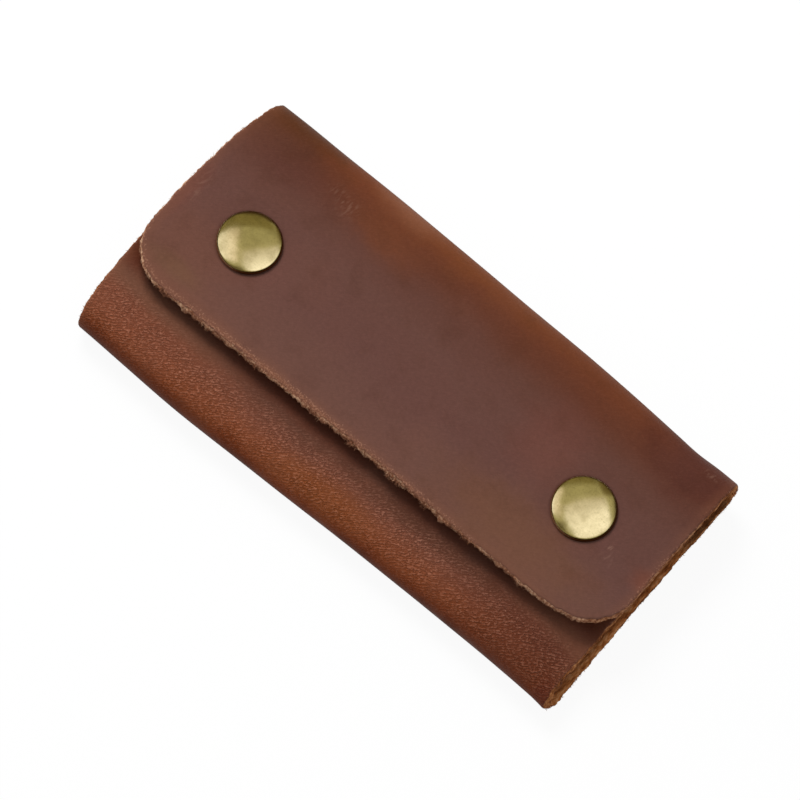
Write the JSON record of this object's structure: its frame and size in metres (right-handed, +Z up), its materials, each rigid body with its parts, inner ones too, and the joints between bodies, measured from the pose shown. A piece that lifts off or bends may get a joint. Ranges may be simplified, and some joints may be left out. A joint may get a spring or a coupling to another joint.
{
  "type": "key case",
  "caption": "Trifold leather key case whose flap closes with domed snaps over a front panel and an inner bar of spring key hooks.",
  "frame": {"origin": "middle of the case on the back panel's outer face, at the bottom of its box", "axes": "+X along the folds, away from the key bar; +Y from the bottom fold to the top fold; +Z up, out of the flap"},
  "size_m": [0.113, 0.0564, 0.0144],
  "materials": {
    "panel_leather": "pull-up leather with a fine pebbled grain, reddish brown with orange lights",
    "fold_leather": "pull-up leather, lighter and redder where it bends",
    "flap_leather": "smooth waxy pull-up leather, dusky brown, with raw cut edges",
    "cap_brass": "antiqued brass, worn bright on the dome and dark at the rim",
    "snap_brass": "antiqued brass",
    "rivet_brass": "antiqued brass",
    "bar_brass": "antiqued brass plate",
    "hook_brass": "antiqued brass plate",
    "spring_steel": "drawn spring wire"
  },
  "bodies": {
    "back": {"back_panel": "panel_leather", "key_bar": "bar_brass", "bar_rivet_lower": "rivet_brass", "bar_rivet_upper": "rivet_brass", "bar_rivet_cap_lower": "rivet_brass", "bar_rivet_cap_upper": "rivet_brass", "hook_pin_1": "bar_brass", "hook_pin_2": "bar_brass", "hook_pin_3": "bar_brass", "hook_pin_4": "bar_brass", "hook_pin_5": "bar_brass", "hook_pin_6": "bar_brass"},
    "top_fold": {"top_fold": "fold_leather"},
    "flap": {"flap": "flap_leather", "snap_cap_left": "cap_brass", "snap_cap_right": "cap_brass", "snap_socket_left": "snap_brass", "snap_socket_right": "snap_brass", "snap_spring_left": "spring_steel", "snap_spring_right": "spring_steel"},
    "bottom_fold": {"bottom_fold": "fold_leather"},
    "front": {"front_panel": "panel_leather", "snap_stud_left": "snap_brass", "snap_stud_right": "snap_brass", "snap_post_left": "snap_brass", "snap_post_right": "snap_brass"},
    "hook_1": {"hook_1": "hook_brass"},
    "hook_2": {"hook_2": "hook_brass"},
    "hook_3": {"hook_3": "hook_brass"},
    "hook_4": {"hook_4": "hook_brass"},
    "hook_5": {"hook_5": "hook_brass"},
    "hook_6": {"hook_6": "hook_brass"},
    "gate_1": {"gate_1": "hook_brass"},
    "gate_2": {"gate_2": "hook_brass"},
    "gate_3": {"gate_3": "hook_brass"},
    "gate_4": {"gate_4": "hook_brass"},
    "gate_5": {"gate_5": "hook_brass"},
    "gate_6": {"gate_6": "hook_brass"}
  },
  "joints": [
    {"name": "top_fold_lower_bend", "type": "hinge", "parent": "back", "child": "top_fold", "pos_m": [0, 0.0264, 0.00185], "axis": [-1, 0, 0], "range_deg": [0, 90]},
    {"name": "top_fold_upper_bend", "type": "hinge", "parent": "top_fold", "child": "flap", "pos_m": [0, 0.0264, 0.01075], "axis": [-1, 0, 0], "range_deg": [0, 90]},
    {"name": "bottom_fold_lower_bend", "type": "hinge", "parent": "back", "child": "bottom_fold", "pos_m": [0, -0.02699, 0.00126], "axis": [1, 0, 0], "range_deg": [0, 45]},
    {"name": "bottom_fold_upper_bend", "type": "hinge", "parent": "bottom_fold", "child": "front", "pos_m": [0, -0.02699, 0.00734], "axis": [1, 0, 0], "range_deg": [0, 45]},
    {"name": "hook_1_swing", "type": "hinge", "parent": "back", "child": "hook_1", "pos_m": [-0.043, -0.019, 0.0034], "axis": [0, 0, 1], "range_deg": [-10, 4.5]},
    {"name": "hook_2_swing", "type": "hinge", "parent": "back", "child": "hook_2", "pos_m": [-0.043, -0.0118, 0.0034], "axis": [0, 0, 1], "range_deg": [-4.5, 4.5]},
    {"name": "hook_3_swing", "type": "hinge", "parent": "back", "child": "hook_3", "pos_m": [-0.043, -0.0046, 0.0034], "axis": [0, 0, 1], "range_deg": [-4.5, 4.5]},
    {"name": "hook_4_swing", "type": "hinge", "parent": "back", "child": "hook_4", "pos_m": [-0.043, 0.0026, 0.0034], "axis": [0, 0, 1], "range_deg": [-4.5, 4.5]},
    {"name": "hook_5_swing", "type": "hinge", "parent": "back", "child": "hook_5", "pos_m": [-0.043, 0.0098, 0.0034], "axis": [0, 0, 1], "range_deg": [-4.5, 4.5]},
    {"name": "hook_6_swing", "type": "hinge", "parent": "back", "child": "hook_6", "pos_m": [-0.043, 0.017, 0.0034], "axis": [0, 0, 1], "range_deg": [-4.5, 11]},
    {"name": "gate_1_press", "type": "hinge", "parent": "hook_1", "child": "gate_1", "pos_m": [-0.038, -0.0173, 0.0034], "axis": [0, 0, -1], "range_deg": [0, 12], "stiffness_Nm_per_rad": 0.001, "springref_deg": -9.74},
    {"name": "gate_2_press", "type": "hinge", "parent": "hook_2", "child": "gate_2", "pos_m": [-0.038, -0.0101, 0.0034], "axis": [0, 0, -1], "range_deg": [0, 12], "stiffness_Nm_per_rad": 0.001, "springref_deg": -9.74},
    {"name": "gate_3_press", "type": "hinge", "parent": "hook_3", "child": "gate_3", "pos_m": [-0.038, -0.0029, 0.0034], "axis": [0, 0, -1], "range_deg": [0, 12], "stiffness_Nm_per_rad": 0.001, "springref_deg": -9.74},
    {"name": "gate_4_press", "type": "hinge", "parent": "hook_4", "child": "gate_4", "pos_m": [-0.038, 0.0043, 0.0034], "axis": [0, 0, -1], "range_deg": [0, 12], "stiffness_Nm_per_rad": 0.001, "springref_deg": -9.74},
    {"name": "gate_5_press", "type": "hinge", "parent": "hook_5", "child": "gate_5", "pos_m": [-0.038, 0.0115, 0.0034], "axis": [0, 0, -1], "range_deg": [0, 12], "stiffness_Nm_per_rad": 0.001, "springref_deg": -9.74},
    {"name": "gate_6_press", "type": "hinge", "parent": "hook_6", "child": "gate_6", "pos_m": [-0.038, 0.0187, 0.0034], "axis": [0, 0, -1], "range_deg": [0, 12], "stiffness_Nm_per_rad": 0.001, "springref_deg": -9.74}
  ],
  "couplings": [
    {"joint": "top_fold_upper_bend", "follows": "top_fold_lower_bend", "ratio": 1},
    {"joint": "bottom_fold_lower_bend", "follows": "top_fold_lower_bend", "ratio": 0.5},
    {"joint": "bottom_fold_upper_bend", "follows": "top_fold_lower_bend", "ratio": 0.5}
  ]
}
